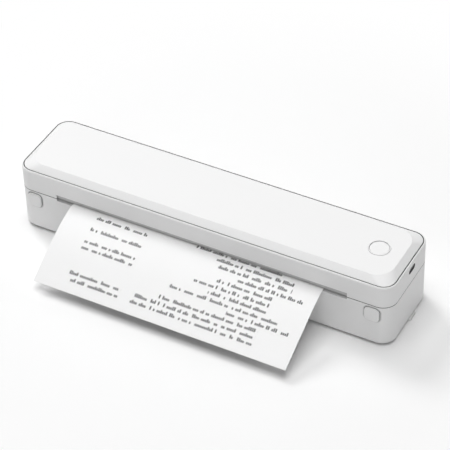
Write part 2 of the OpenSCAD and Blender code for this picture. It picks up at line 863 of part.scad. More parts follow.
module upper_shell() {
    color(shell_white) difference() {
        union() {
            difference() {
                union() {
                    translate([0, 0, seam_z]) rounded_slab(body_l, body_w, corner_r,
                        rim_z - seam_z - rim_round_h);
                    translate([0, 0, rim_z - rim_round_h])
                        leaning_slab(body_l, body_w, corner_r, rim_round_w, rim_round_h);
                }
                translate([0, 0, ledge_z])
                    rounded_slab(body_l - 2 * rim_w, body_w - 2 * rim_w, corner_r - rim_w, 5);
                translate([0, 0, seam_z - 1])
                    rounded_slab(inner_l, inner_w, inner_r, ledge_z - ledge_t - seam_z + 1);
                translate([0, 0, seam_z])
                    rounded_slab(inner_l - 2 * ledge_w, inner_w - 2 * ledge_w, inner_r - ledge_w, 30);
                rear_wedge();
                base_knuckles(knuckle_r + slip_gap, slip_gap);
                box([-slot_l / 2, front_y - 1, seam_z - 1],
                    [slot_l / 2, front_y + slot_recess, seam_z + slot_up]);
                translate([body_l / 2 - wall - 1, usb_y, usb_z]) rotate([90, 0, 90])
                    linear_extrude(wall + 2) usb_outline(usb_hole_w, usb_hole_h);
            }
            box([slip_gap - slot_l / 2, front_y + slot_recess, nip_z + paper_t + slip_gap],
                [slot_l / 2 - slip_gap, front_in_y, seam_z + 1]);
            cover_knuckles(knuckle_r, 0);
            for (s = [-1, 1])
                box([s * release_x - keeper_w / 2, front_in_y - 0.3, keeper_z],
                    [s * release_x + keeper_w / 2, front_in_y + keeper_reach, keeper_z + keeper_t]);
            for (p = liner_screws)
                translate([p[0], p[1], liner_z + liner_t])
                    cylinder(h = ledge_z - liner_z - liner_t, r = boss_r);
        }
        cover_knuckles(pin_r + run_gap, 1);
        for (p = liner_screws)
            translate([p[0], p[1], liner_z]) cylinder(h = 9, r = thread_r);
    }
}

// Snap tab under the top plate, gripping the shell's ledge on the +Y side
module plate_clip(x) {
    tab_y = inner_w / 2 - ledge_w - 0.3;
    box([x - 4, tab_y - 1.2, ledge_z - ledge_t - 1.2], [x + 4, tab_y, body_h - 1]);
    box([x - 4, tab_y - 0.5, ledge_z - ledge_t - 1.2], [x + 4, tab_y + 0.9, ledge_z - ledge_t - 0.2]);
}

module top_plate() {
    skin = 0.01;
    color(shell_white) difference() {
        union() {
            difference() {
                hull() {
                    translate([0, 0, ledge_z]) rounded_slab(plate_l, plate_w, plate_r, rim_z - ledge_z);
                    translate([0, 0, body_h - skin])
                        rounded_slab(plate_l - 2 * bevel_w, plate_w - 2 * bevel_w, plateau_r, skin);
                }
                translate([0, 0, ledge_z - 1])
                    rounded_slab(plate_l - 2 * bevel_w - 4, plate_w - 2 * bevel_w - 4, 3,
                        body_h - plate_roof - ledge_z + 1);
            }
            for (x = clip_xs) {
                plate_clip(x);
                mirror([0, 1, 0]) plate_clip(x);
            }
        }
        translate([power_x, power_y, 0]) cylinder(h = 80, r = ring_r + ring_seat_gap);
    }
}

module cover_liner() {
    color(inner_grey) difference() {
        union() {
            difference() {
                translate([0, 0, liner_z])
                    rounded_slab(inner_l - 0.6, inner_w - 0.6, inner_r - 0.3, liner_t);
                box([-200, liner_rear_y, 30], [200, 40, 50]);
                box([-head_window_x, -40, 30], [head_window_x, head_window_y, 50]);
                for (s = [-1, 1])
                    box([s * release_x - 6, -40, 30], [s * release_x + 6, arm_y + arm_t + 2.5, 50]);
            }
            for (p = board_posts)
                translate([p[0], p[1], liner_z + liner_t - 0.5])
                    cylinder(h = board_z - liner_z - liner_t + 0.5, r = 2.4);
            for (x = [-100 : 20 : 100])
                box([x - 0.6, head_window_y + 0.2, 37.3], [x + 0.6, roll_y - 2, liner_z + 0.5]);
        }
        for (p = liner_screws)
            translate([p[0], p[1], 30]) cylinder(h = 20, r = thread_r + 0.15);
        for (p = board_posts)
            translate([p[0], p[1], board_z - 5]) cylinder(h = 6, r = thread_r);
        for (x = carrier_screw_xs)
            translate([x, carrier_foot_y - 4, 30]) cylinder(h = 20, r = thread_r);
    }
}

module cover_screws() {
    color(steel)
        for (p = liner_screws) screw_up(p[0], p[1], liner_z, 2.2, 0.9, 8);
}

// Steel channel over the head, with an ear at each end for the head's pivot
module head_carrier() {
    foot_top = liner_z + liner_t + carrier_t;
    color(steel) difference() {
        union() {
            along_x(-carrier_l / 2, carrier_l / 2) polygon([
                [carrier_front_y, 43], [carrier_front_y, carrier_top_z],
                [carrier_rear_y + carrier_t, carrier_top_z], [carrier_rear_y + carrier_t, foot_top],
                [carrier_foot_y, foot_top], [carrier_foot_y, foot_top - carrier_t],
                [carrier_rear_y, foot_top - carrier_t], [carrier_rear_y, carrier_top_z - carrier_t],
                [carrier_front_y + carrier_t, carrier_top_z - carrier_t], [carrier_front_y + carrier_t, 43]
            ]);
            for (s = [-1, 1])
                along_x(s * (carrier_l / 2 - 0.6) - 0.6, s * (carrier_l / 2 - 0.6) + 0.6)
                    polygon([
                        [-16, carrier_top_z], [head_window_y - 0.1, carrier_top_z],
                        [head_window_y - 0.1, 39.2], [-12, 38.9], [-14, 42]
                    ]);
        }
        rod_x(-carrier_l, carrier_l, pivot_y, pivot_z, pivot_r + run_gap);
        for (x = carrier_screw_xs)
            translate([x, carrier_foot_y - 4, 30]) cylinder(h = 15, r = thread_r);
    }
}

module carrier_screws() {
    color(steel)
        for (x = carrier_screw_xs)
            translate([x, carrier_foot_y - 4, liner_z + liner_t + carrier_t]) mirror([0, 0, 1])
                screw_up(0, 0, 0, 1.9, 0.9, liner_t + carrier_t - 0.1);
}

module head_springs() {
    color(steel)
        for (x = head_spring_xs)
            translate([x, head_spring_y, spring_seat_z])
                coil_spring(head_spring_r, head_wire,
                    carrier_top_z - carrier_t - spring_seat_z, spring_turns);
}

module main_board() {
    color([0.10, 0.36, 0.20]) difference() {
        translate([board_x - board_l / 2, -board_w / 2, board_z]) cube([board_l, board_w, board_t]);
        for (p = board_posts)
            translate([p[0], p[1], board_z - 1]) cylinder(h = 4, r = thread_r + 0.15);
    }
    color(rubber_black) {
        box([120, 6, board_top_z], [129, 15, board_top_z + 1]);
        box([138, -14, board_top_z], [144, -8, board_top_z + 1]);
        box([119, -15, board_top_z], [123, -5, board_top_z + 4]);
    }
}

module board_screws() {
    color(steel)
        for (p = board_posts)
            translate([p[0], p[1], board_top_z]) mirror([0, 0, 1]) screw_up(0, 0, 0, 1.9, 0.9, 5.5);
}

module usb_socket() {
    color(steel) translate([body_l / 2 - wall / 2 - usb_shell_l, usb_y, usb_z]) rotate([90, 0, 90]) {
        difference() {
            linear_extrude(usb_shell_l) usb_outline(usb_shell_w, usb_shell_h);
            translate([0, 0, 1]) linear_extrude(usb_shell_l)
                usb_outline(usb_shell_w - 2 * usb_shell_t, usb_shell_h - 2 * usb_shell_t);
        }
        linear_extrude(usb_shell_l - 1) square([usb_tongue_w, usb_tongue_t], center = true);
    }
}

module power_switch() {
    color(rubber_black) translate([power_x - switch_w / 2, power_y - switch_w / 2, board_top_z])
        cube([switch_w, switch_w, switch_h]);
    color(rubber_black) translate([power_x, power_y, board_top_z + switch_h - 0.1])
        cylinder(h = plunger_h + 0.1, r = plunger_r);
}

// Clear ring that stands a little out of the plate, with a flange under the plate's roof
module light_ring() {
    roof_z = body_h - plate_roof;
    color([0.86, 0.88, 0.90]) translate([power_x, power_y, 0]) difference() {
        union() {
            translate([0, 0, roof_z - 1]) cylinder(h = plate_roof + 1 + ring_proud, r = ring_r);
            translate([0, 0, roof_z - 1]) cylinder(h = 1, r = ring_r + 1.4);
        }
        cylinder(h = 80, r = cap_r + 0.3);
    }
}

// Cap with a retaining flange below the ring and a stem down to the switch
module power_button() {
    flange_top = body_h - plate_roof - 1 - run_gap;
    stem_low = board_top_z + switch_h + plunger_h + power_travel;
    color(shell_white) translate([power_x, power_y, 0]) {
        translate([0, 0, flange_top - 1]) cylinder(h = body_h - cap_edge - flange_top + 1, r = cap_r);
        translate([0, 0, body_h - cap_edge]) cylinder(h = cap_edge, r1 = cap_r, r2 = cap_r - cap_edge);
        translate([0, 0, flange_top - 1]) cylinder(h = 1, r = cap_r + 1.3);
        translate([0, 0, stem_low]) cylinder(h = flange_top - stem_low, r = 1.6);
    }
}

// ---- Print head ----

// Aluminium bar that carries the heating strip, with a boss round the pivot
module head_heatsink() {
    low = head_base_z + ceramic_t;
    color([0.78, 0.79, 0.81]) difference() {
        along_x(-head_l / 2, head_l / 2) polygon([
            [-27.5, low], [-8.5, low], [-8.5, 42.6], [-12, 42.6], [-12, spring_seat_z], [-27.5, spring_seat_z]
        ]);
        for (s = [-1, 1])
            rod_x(s * (head_l / 2 - 2.5) - 3.5, s * (head_l / 2 - 2.5) + 3.5, pivot_y, pivot_z, pivot_r);
    }
}

module head_ceramic() {
    color([0.93, 0.91, 0.86])
        box([-platen_l / 2, -25, head_base_z], [platen_l / 2, -13, head_base_z + ceramic_t]);
}

module head_driver_cover() {
    color(rubber_black)
        box([-100, -12.8, head_base_z + 0.4], [100, -9, head_base_z + ceramic_t]);
}

module head_pivot_pins() {
    color(steel)
        for (s = [-1, 1])
            rod_x(s * (head_l / 2 - 1.5) - 4.5,
                s * (head_l / 2 - 1.5) + (s > 0 ? 5.5 : 4.5), pivot_y, pivot_z, pivot_r);
}

lower_shell();
rubber_feet();
base_screws();
left_side_frame();
right_side_frame();
paper_tray();
tear_bar();
paper_sensor();
left_end_cover();
right_end_cover();
end_cover_screws();
battery_pack();
stepper_motor();
motor_screws();
idler_stud();
left_platen_bearing();
right_platen_bearing();
hinge_pins();
left_release_spring();
right_release_spring();
paper_web();
platen_shaft();
platen_rubber();
platen_gear();
idler_gear();
motor_shaft();
motor_pinion();
paper_roll();
paper_core();
left_release();
right_release();
upper_shell();
top_plate();
cover_liner();
cover_screws();
head_carrier();
carrier_screws();
head_springs();
main_board();
board_screws();
usb_socket();
power_switch();
light_ring();
power_button();
head_heatsink();
head_ceramic();
head_driver_cover();
head_pivot_pins();
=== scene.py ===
import json
import math

import bmesh
import bpy
from mathutils import Matrix, Vector

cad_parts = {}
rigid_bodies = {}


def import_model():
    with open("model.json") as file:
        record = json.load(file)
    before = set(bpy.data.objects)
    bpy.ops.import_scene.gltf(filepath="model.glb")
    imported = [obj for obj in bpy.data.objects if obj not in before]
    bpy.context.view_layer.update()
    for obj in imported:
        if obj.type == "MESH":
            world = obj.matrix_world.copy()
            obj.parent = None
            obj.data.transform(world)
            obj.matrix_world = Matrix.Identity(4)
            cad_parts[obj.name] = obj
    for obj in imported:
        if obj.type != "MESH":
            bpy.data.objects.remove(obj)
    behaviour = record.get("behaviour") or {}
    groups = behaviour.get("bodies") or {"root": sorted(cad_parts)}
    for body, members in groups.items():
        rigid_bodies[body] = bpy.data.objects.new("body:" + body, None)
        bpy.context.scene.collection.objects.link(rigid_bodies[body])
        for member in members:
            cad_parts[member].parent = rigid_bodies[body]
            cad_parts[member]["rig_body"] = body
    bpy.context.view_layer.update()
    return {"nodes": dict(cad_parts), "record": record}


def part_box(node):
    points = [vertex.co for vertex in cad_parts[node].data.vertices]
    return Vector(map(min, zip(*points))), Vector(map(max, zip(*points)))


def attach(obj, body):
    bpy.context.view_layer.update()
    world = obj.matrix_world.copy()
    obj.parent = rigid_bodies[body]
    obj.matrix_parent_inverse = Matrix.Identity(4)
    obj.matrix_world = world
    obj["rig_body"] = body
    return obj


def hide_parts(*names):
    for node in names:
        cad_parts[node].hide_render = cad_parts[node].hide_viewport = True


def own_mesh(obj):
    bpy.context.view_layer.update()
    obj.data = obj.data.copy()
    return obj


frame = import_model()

nodes = frame["nodes"]
scene = bpy.context.scene
print("frame loaded,", len(nodes), "parts")


def addObject(name, data):
    made = bpy.data.objects.new(name, data)
    scene.collection.objects.link(made)
    return made


# Turns a finished bmesh into an object of one material
def addShape(name, shape, finish):
    mesh = bpy.data.meshes.new(name)
    shape.to_mesh(mesh)
    shape.free()
    mesh.materials.append(finish.material)
    return addObject(name, mesh)


# Large faces keep their own normals beside narrow ones
def evenFaces(piece):
    flat = piece.modifiers.new("flatFaces", "WEIGHTED_NORMAL")
    flat.mode, flat.weight = "FACE_AREA", 100


# Camera, at the photograph's viewing angle: place in metres, angles in degrees
camera = {
    "place": (0.58414, -1.02317, 1.05604),
    "azimuth": 29.53,
    "elevation": 41.01,
    "roll": -2.0,
    "lens": 167.19,
    "sensor": 36,
    "clip": (0.05, 20),
}


def makeCamera(c):
    azimuth, elevation, roll = (math.radians(c[k]) for k in ("azimuth", "elevation", "roll"))
    back = Vector((math.sin(azimuth) * math.cos(elevation),
                   -math.cos(azimuth) * math.cos(elevation),
                   math.sin(elevation)))
    right = Vector((math.cos(azimuth), math.sin(azimuth), 0))
    up = back.cross(right)
    turnedRight = right * math.cos(roll) + up * math.sin(roll)
    turnedUp = up * math.cos(roll) - right * math.sin(roll)
    data = bpy.data.cameras.new("photoCamera")
    data.lens, data.sensor_width = c["lens"], c["sensor"]
    data.clip_start, data.clip_end = c["clip"]
    made = addObject("photoCamera", data)
    turn = Matrix((turnedRight, turnedUp, back)).transposed().to_4x4()
    made.matrix_world = Matrix.Translation(Vector(c["place"])) @ turn
    scene.camera = made


makeCamera(camera)
print("camera placed")


# Shader maths written as expressions
class Signal:
    def __init__(self, tree, socket):
        self.tree, self.socket = tree, socket

    def maths(self, operation, *values):
        return self.tree.node("ShaderNodeMath", {"operation": operation}, dict(enumerate(values)))

    def __add__(self, other):
        return self.maths("ADD", self, other)

    def __radd__(self, other):
        return self.maths("ADD", other, self)

    def __sub__(self, other):
        return self.maths("SUBTRACT", self, other)

    def __rsub__(self, other):
        return self.maths("SUBTRACT", other, self)

    def __mul__(self, other):
        return self.maths("MULTIPLY", self, other)

    def __rmul__(self, other):
        return self.maths("MULTIPLY", other, self)

    def __truediv__(self, other):
        return self.maths("DIVIDE", self, other)

    def __gt__(self, other):
        return self.maths("GREATER_THAN", self, other)

    def __lt__(self, other):
        return self.maths("LESS_THAN", self, other)

    def fraction(self):
        return self.maths("FRACT", self)

    def floor(self):
        return self.maths("FLOOR", self)

    def size(self):
        return self.maths("ABSOLUTE", self)

    def most(self, other):
        return self.maths("MAXIMUM", self, other)

    def root(self):
        return self.maths("SQRT", self)

    def within(self, low, high):
        return (self > low) * (self < high)

    # 0 below low, 1 above high, smooth between
    def ramp(self, low, high):
        return self.tree.node("ShaderNodeMapRange", {"interpolation_type": "SMOOTHSTEP"},
                              {"Value": self, "From Min": low, "From Max": high})


class Tree:
    def __init__(self, tree):
        self.tree = tree

    def feed(self, socket, value):
        if isinstance(value, Signal):
            self.tree.links.new(value.socket, socket)
        else:
            socket.default_value = value

    def node(self, kind, settings=None, values=None, output=0):
        made = self.tree.nodes.new(kind)
        for key, value in (settings or {}).items():
            setattr(made, key, value)
        for key, value in (values or {}).items():
            self.feed(made.inputs[key], value)
        return Signal(self, made.outputs[output]) if made.outputs else None

    def spot(self):
        return self.node("ShaderNodeTexCoord", output="Object")

    def part(self, vector, axis):
        return self.node("ShaderNodeSeparateXYZ", None, {0: vector}, axis)

    def vector(self, operation, *values, output="Vector"):
        return self.node("ShaderNodeVectorMath", {"operation": operation},
                         dict(enumerate(values)), output)

    def length(self, vector):
        return self.vector("LENGTH", vector, output="Value")

    def noise(self, scale, detail=2.0, stretch=(1, 1, 1)):
        place = self.node("ShaderNodeMapping", None, {"Vector": self.spot(), "Scale": stretch})
        return self.node("ShaderNodeTexNoise", None,
                         {"Vector": place, "Scale": scale, "Detail": detail})

    def blend(self, share, first, second):
        return self.node("ShaderNodeMix", {"data_type": "RGBA"}, {0: share, 6: first, 7: second}, 2)

    # Distance outside a rounded rectangle about the centre
    def beyond(self, u, v, flatU, flatV, radius):
        overU, overV = (u.size() - flatU).most(0.0), (v.size() - flatV).most(0.0)
        return (overU * overU + overV * overV).root() - radius

    # 1 for a ray that shows the backdrop: from the camera, off gloss or through glass
    def shown(self):
        rays = [self.node("ShaderNodeLightPath", output=f"Is {kind} Ray")
                for kind in ("Camera", "Glossy", "Transmission")]
        return rays[0].most(rays[1]).most(rays[2])


# What every grained finish shares: wide patches in the colour, and how far the gloss varies
# with the grain and with the patches
graining = {
    "patchScale": 28,
    "patchDetail": 3,
    "grainDetail": 2,
    "grainGloss": 0.12,
    "patchGloss": 0.05,
    "bumpStrength": 0.35,
}


class Finish(Tree):
    def __init__(self, name, **constants):
        self.material = bpy.data.materials.new(name)
        self.material.use_nodes = True
        super().__init__(self.material.node_tree)
        self.shader = self.tree.nodes["Principled BSDF"]
        self.set(**constants)

    def set(self, **values):
        for key, value in values.items():
            self.feed(self.shader.inputs[key.replace("_", " ")], value)

    def bump(self, height, strength, depth):
        self.set(Normal=self.node("ShaderNodeBump", None,
                                  {"Height": height, "Strength": strength, "Distance": depth}))

    def grain(self, colour, roughness, scale, depth, vary, stretch=(1, 1, 1)):
        g = graining
        patch = self.noise(g["patchScale"], g["patchDetail"])
        fine = self.noise(scale, g["grainDetail"], stretch)
        self.set(Roughness=roughness + (fine - 0.5) * g["grainGloss"]
                 + (patch - 0.5) * g["patchGloss"])
        self.bump(fine, g["bumpStrength"], depth)
        return self.blend(patch, shade(colour, 1 - vary), shade(colour, 1 + vary))


def shade(colour, factor):
    return tuple(min(1.0, c * factor) for c in colour) + (1.0,)


# A finish whose colour, gloss and surface all vary a little, at the grain's own scale
def grained(name, colour, roughness, scale, depth, vary=0.03, metal=0.0, stretch=(1, 1, 1), **rest):
    made = Finish(name, Metallic=metal, **rest)
    made.set(Base_Color=made.grain(colour, roughness, scale, depth, vary, stretch))
    return made


# The scale is the grain's waves per metre, the depth its height in metres, and vary the share by
# which the colour changes. A stretch below 1 draws the grain out along that axis.
grains = {
    "inner_plastic": dict(
        name="innerPlastic", colour=(0.055, 0.057, 0.06), roughness=0.55, scale=1900,
        depth=0.00005),
    "foot_rubber": dict(
        name="footRubber", colour=(0.74, 0.74, 0.73), roughness=0.75, scale=1500, depth=0.00006),
    "roller_rubber": dict(
        name="rollerRubber", colour=(0.02, 0.02, 0.022), roughness=0.70, scale=1700,
        depth=0.00005),
    "sheet_steel": dict(
        name="platedSheet", colour=(0.50, 0.51, 0.52), roughness=0.38, scale=900, depth=0.00002,
        vary=0.05, metal=1.0, stretch=(0.05, 1, 1)),
    "bright_steel": dict(
        name="groundSteel", colour=(0.62, 0.62, 0.63), roughness=0.22, scale=1400, depth=0.00001,
        vary=0.03, metal=1.0, stretch=(1, 0.1, 1)),
    "screw_steel": dict(
        name="screwSteel", colour=(0.35, 0.35, 0.36), roughness=0.34, scale=1200, depth=0.00002,
        vary=0.05, metal=1.0),
    "spring_steel": dict(
        name="springWire", colour=(0.46, 0.46, 0.47), roughness=0.28, scale=1500, depth=0.00001,
        vary=0.04, metal=1.0),
    "nylon": dict(
        name="nylon", colour=(0.72, 0.69, 0.61), roughness=0.45, scale=1300, depth=0.00003),
    "brass": dict(
        name="turnedBrass", colour=(0.72, 0.50, 0.20), roughness=0.25, scale=1400, depth=0.00001,
        vary=0.04, metal=1.0, stretch=(1, 0.1, 0.1)),
    "cell_wrap": dict(
        name="cellWrap", colour=(0.02, 0.07, 0.20), roughness=0.24, scale=220, depth=0.00006,
        vary=0.04, Coat_Weight=0.3),
    "core_board": dict(
        name="coreBoard", colour=(0.30, 0.20, 0.12), roughness=0.85, scale=800, depth=0.00008,
        vary=0.08, stretch=(0.2, 1, 1)),
    "black_plastic": dict(
        name="blackMoulding", colour=(0.018, 0.018, 0.02), roughness=0.45, scale=1800,
        depth=0.00004),
    "aluminium": dict(
        name="extrudedBar", colour=(0.66, 0.67, 0.68), roughness=0.34, scale=1200, depth=0.00002,
        vary=0.04, metal=1.0, stretch=(0.03, 1, 1)),
    "ring_plastic": dict(
        name="ringPlastic", colour=(0.84, 0.84, 0.84), roughness=0.34, scale=1500, depth=0.00002,
        vary=0.01, Coat_Weight=0.2),
    "socket_metal": dict(
        name="socketShell", colour=(0.46, 0.46, 0.47), roughness=0.42, scale=1400, depth=0.00001,
        vary=0.03, metal=1.0),
}
finishes = {slot: grained(**values) for slot, values in grains.items()}


# White moulding with painted shade: its colour is blended towards black where the wall turns in and
# shade falls. That covers the seam, the groove round the plate, the gaps round the buttons and
# socket and, less so, the paper slot and a ring round each release button. In metres. Depths run
# inwards from the outer wall.
shell = {
    "colour": (0.88, 0.88, 0.88),
    "roughness": 0.50,
    "grainScale": 2600,
    "grainDepth": 0.00004,
    "vary": 0.008,
    "paintedShade": (0, 0, 0, 1),
    "gapPaintedShade": 0.84,
    "slotPaintedShade": 0.38,
    "cornerRadius": 0.0115,
    "wallDepths": (0.00007, 0.0019),
    "wallHeights": (0.0032, 0.055),
    "jointHeights": (0.03742, 0.041),  # faces that only an open cover shows get no painted shade
    "grooveDepths": (0.0009, 0.0021),
    "grooveHeights": (0.0532, 0.0557),
    "slotDepths": (0.00015, 0.0028),
    "slotHeights": (0.034, 0.0409),
    "slotHalf": 0.1216,
    "buttonPlace": (0.1414, 0.0291),  # out from the middle, and up
    "buttonShape": (0.0023, 0.0024, 0.0036),  # half its flat width and height, corner radius
    "ringPaintedShade": 0.42,
    "ringReach": (0.0003, 0.0017),
    "ringDepth": 0.0002,
}


def makeShell(s):
    made = Finish("whiteShell")
    white = made.grain(s["colour"], s["roughness"], s["grainScale"], s["grainDepth"], s["vary"])
    low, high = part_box("lower_shell")
    x, y, z = (made.part(made.spot(), axis) for axis in range(3))
    corner = s["cornerRadius"]
    depth = 0 - made.beyond(x, y, high.x - corner, -low.y - corner, corner)
    mouth = (x.size() < s["slotHalf"]) * (y < 0.0) * z.within(*s["slotHeights"])
    wall = depth.within(*s["wallDepths"]) * z.within(*s["wallHeights"])
    wall = wall * (1 - z.within(*s["jointHeights"])) * (1 - mouth)
    groove = depth.within(*s["grooveDepths"]) * z.within(*s["grooveHeights"])
    # Painted shade, lighter than in the gaps, inside the paper slot's recess
    slot = mouth * depth.within(*s["slotDepths"])
    # Painted shadow in a ring on the wall round each release button, where the proud button shades
    # it
    buttonX, buttonZ = s["buttonPlace"]
    away = made.beyond(x.size() - buttonX, z - buttonZ, *s["buttonShape"])
    ring = (1 - away.ramp(*s["ringReach"])) * (depth.size() < s["ringDepth"]) * (y < 0.0)
    # Painted shade: the colour goes towards black in the seam, the groove and the gaps, where shade
    # falls
    gaps = wall.most(groove) * s["gapPaintedShade"]
    paintedShade = gaps.most(slot * s["slotPaintedShade"]).most(ring * s["ringPaintedShade"])
    made.set(Base_Color=made.blend(paintedShade, white, s["paintedShade"]))
    return made


finishes["shell_plastic"] = makeShell(shell)


# Wound paper: the turns show as faint rings on the roll's ends. A bump is its strength and its
# height in metres.
roll = {
    "paper": (0.88, 0.88, 0.87),
    "roughness": 0.62,
    "ringsPerMetre": 2600,
    "ringShade": 0.16,
    "bump": (0.4, 0.00004),
}


def makeRoll(r):
    low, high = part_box("paper_roll")
    made = Finish("rolledPaper", Roughness=r["roughness"])
    out = made.vector("SUBTRACT", made.spot(), (low + high) / 2)
    radius = made.length(made.vector("MULTIPLY", out, (0, 1, 1)))
    turn = made.node("ShaderNodeTexNoise", {"noise_dimensions": "1D"},
                     {"W": radius * r["ringsPerMetre"], "Scale": 1.0, "Detail": 1.0})
    paper = r["paper"]
    made.set(Base_Color=made.blend(turn, shade(paper, 1), shade(paper, 1 - r["ringShade"])))
    made.bump(turn, *r["bump"])
    return made


finishes["thermal_paper"] = makeRoll(roll)


# Glazed strip with the line of heating dots along it and the conductors behind them, in metres
strip = {
    "glaze": (0.74, 0.70, 0.62),
    "heater": (0.10, 0.05, 0.03),
    "conductor": (0.60, 0.42, 0.16),
    "roughness": 0.16,
    "coat": 0.5,
    "heaterWidth": 0.0005,
    "conductorPitch": 0.0010,
    "conductorGap": 0.5,  # as a share of the pitch
    "conductorShow": 0.6,
    "grainScale": 900,
    "bump": (0.2, 0.00001),
}


def makeStrip(s):
    made = Finish("glazedStrip", Roughness=s["roughness"], Coat_Weight=s["coat"])
    low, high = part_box("platen_rubber")
    along = made.part(made.spot(), 0)
    across = made.part(made.spot(), 1) - (low.y + high.y) / 2
    heater = across.size() < s["heaterWidth"]
    line = (along / s["conductorPitch"]).fraction() > s["conductorGap"]
    lines = line * (across > s["heaterWidth"])
    base = made.blend(lines * s["conductorShow"], shade(s["glaze"], 1), shade(s["conductor"], 1))
    made.set(Base_Color=made.blend(heater, base, shade(s["heater"], 1)))
    made.bump(made.noise(s["grainScale"]), *s["bump"])
    return made


finishes["head_ceramic"] = makeStrip(strip)


# Solder mask with tracks under it; whatever stands above the board's face is a black package
board = {
    "mask": (0.008, 0.10, 0.035),
    "track": (0.02, 0.20, 0.08),
    "chip": (0.02, 0.02, 0.022),
    "roughness": 0.28,
    "chipRougher": 0.25,
    "coat": 0.4,
    "chipRise": 0.0002,
    "cellsPerMetre": 620,
    "trackWidth": 0.07,  # as a share of a cell
    "bump": (0.15, 0.00003),
}


def makeBoard(b):
    made = Finish("circuitBoard", Coat_Weight=b["coat"])
    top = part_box("power_switch")[0].z
    cell = made.node("ShaderNodeTexVoronoi", {"feature": "DISTANCE_TO_EDGE"},
                     {"Vector": made.spot(), "Scale": b["cellsPerMetre"]})
    chip = made.part(made.spot(), 2) > top + b["chipRise"]
    green = made.blend(cell < b["trackWidth"], shade(b["mask"], 1), shade(b["track"], 1))
    made.set(Base_Color=made.blend(chip, green, shade(b["chip"], 1)),
             Roughness=b["roughness"] + chip * b["chipRougher"])
    made.bump(cell, *b["bump"])
    return made


finishes["circuit_board"] = makeBoard(board)

slotOf = {part["node"]: part["material_slot"] for part in frame["record"]["subparts"]}
for name, part in nodes.items():
    part.data.materials.clear()
    part.data.materials.append(finishes[slotOf[name]].material)
print("finishes made,", len(finishes))


# Edges broken as a mould or a press leaves them, on merged copies of the parts that show.
# Widths are in millimetres. Faces that meet at less than the limit, in degrees, run on smoothly.
edges = {
    "lower_shell": 0.30,
    "upper_shell": 0.15,
    "top_plate": 0.15,
    "left_release": 0.30,
    "right_release": 0.30,
    "power_button": 0.12,
    "light_ring": 0.08,
    "usb_socket": 0.06,
    "rubber_feet": 0.25,
    "paper_tray": 0.15,
    "cover_liner": 0.15,
    "left_end_cover": 0.15,
    "right_end_cover": 0.15,
    "battery_pack": 0.50,
    "stepper_motor": 0.20,
    "head_heatsink": 0.15,
}
smoothLimit = {"top_plate": 18}  # its slope meets its flat top at only 24 degrees round the corners
usualLimit = 28

# In a copy, points closer than this, in metres, are merged, and so are faces whose slopes differ
# by less than this, in degrees
mergeDistance = 0.000002
mergeTurn = 0.4


# A merged copy that stands for a part and moves with its body
def copyOf(node, ending):
    part = nodes[node]
    shape = bmesh.new()
    shape.from_mesh(part.data)
    bmesh.ops.remove_doubles(shape, verts=shape.verts, dist=mergeDistance)
    bmesh.ops.dissolve_limit(shape, angle_limit=math.radians(mergeTurn),
                             verts=shape.verts, edges=shape.edges)
    for face in shape.faces:
        face.smooth = True
    piece = addShape(node + ending, shape, finishes[slotOf[node]])
    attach(piece, part["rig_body"])
    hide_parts(node)
    return piece


def soften(node, width):
    piece = copyOf(node, "_eased")
    bevel = piece.modifiers.new("edge", "BEVEL")
    bevel.width, bevel.segments, bevel.profile = width / 1000, 2, 0.5
    bevel.limit_method = "ANGLE"
    bevel.angle_limit = math.radians(smoothLimit.get(node, usualLimit))
    bevel.use_clamp_overlap = True
    evenFaces(piece)


for node, width in edges.items():
    soften(node, width)
print("edges eased on", len(edges), "parts")


# Coil springs, each made a merged copy of its own. The table lists the joint that presses each, the
# axis it lies along, and the travel in millimetres.
springs = {
    "left_release_spring": {"joint": "left_release_press", "axis": (0, 1, 0), "travel": 1.5},
    "right_release_spring": {"joint": "right_release_press", "axis": (0, 1, 0), "travel": 1.5},
    "head_springs": {"joint": "head_lift", "axis": (0, 0, 1), "travel": 0.76},
}


def shorten(node):
    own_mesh(copyOf(node, "_coil"))


for node, spring in springs.items():
    shorten(node)
print("springs made")


# The sheet from the roll over the platen and out of the slot, a little twisted, in millimetres
sheet = {
    "thickness": 0.2,
    "platenGap": 0.03,
    "rollGap": 0.1,
    "mouth": -33.5,  # where the sheet starts to droop
    "slope": 0.61,
    "softness": 18.8,
    "twist": 1.2,
    "steps": 60,
    "columns": 30,
    "white": (0.965, 0.965, 0.965),
    "roughness": 0.62,
    "fibreScale": 1500,
    "fibreDetail": 3,
    "fibreShade": 0.01,
    "bump": (0.2, 0.00002),
}

# Its print is a plain pattern of small bars in rows, in millimetres. Bar heights are shares of a
# row, and barWidth is a share of barPitch. Each seed gives rows or bars their own set of chances.
printing = {
    "ink": (0.025, 0.025, 0.027),
    "rightMargin": 9.0,
    "firstRow": 7.0,
    "rowPitch": 5.2,
    "rows": 12,
    "barPitch": 1.5,
    "barWidth": 0.70,
    "barStart": 0.3,
    "shortBar": 0.36,
    "tallBar": 0.56,
    "shortShare": 0.7,
    "groupWaves": 0.43,
    "groupRowShift": 9.7,
    "groupGap": 0.42,
    "indent": 11.0,
    "indents": 3,
    "shortest": 26.0,
    "longest": 105.0,
    "farColumn": 142.0,
    "farLength": 44.0,
    "farSkipped": 0.55,
    "indentSeed": 0.5,
    "lengthSeed": 40.5,
    "farSeed": 80.5,
    "barSeed": 0.5,
    "barSeedsPerRow": 61,
}


# Points of the sheet's underside from its free end back to the roll, as (y, z)
def sheetLine(s):
    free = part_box("paper_web")[0].y * 1000
    platenLow, platenHigh = (corner * 1000 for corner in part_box("platen_rubber"))
    rollLow, rollHigh = (corner * 1000 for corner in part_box("paper_roll"))
    nip = ((platenLow.y + platenHigh.y) / 2, platenHigh.z + s["platenGap"])
    line = []
    for k in range(s["steps"] + 1):
        out = (s["mouth"] - free) * (1 - k / s["steps"])
        line.append((s["mouth"] - out, nip[1] - s["slope"] * out ** 2 / (out + s["softness"])))
    line.append(nip)
    line.append(((rollLow.y + rollHigh.y) / 2, rollHigh.z + s["rollGap"]))
    return line


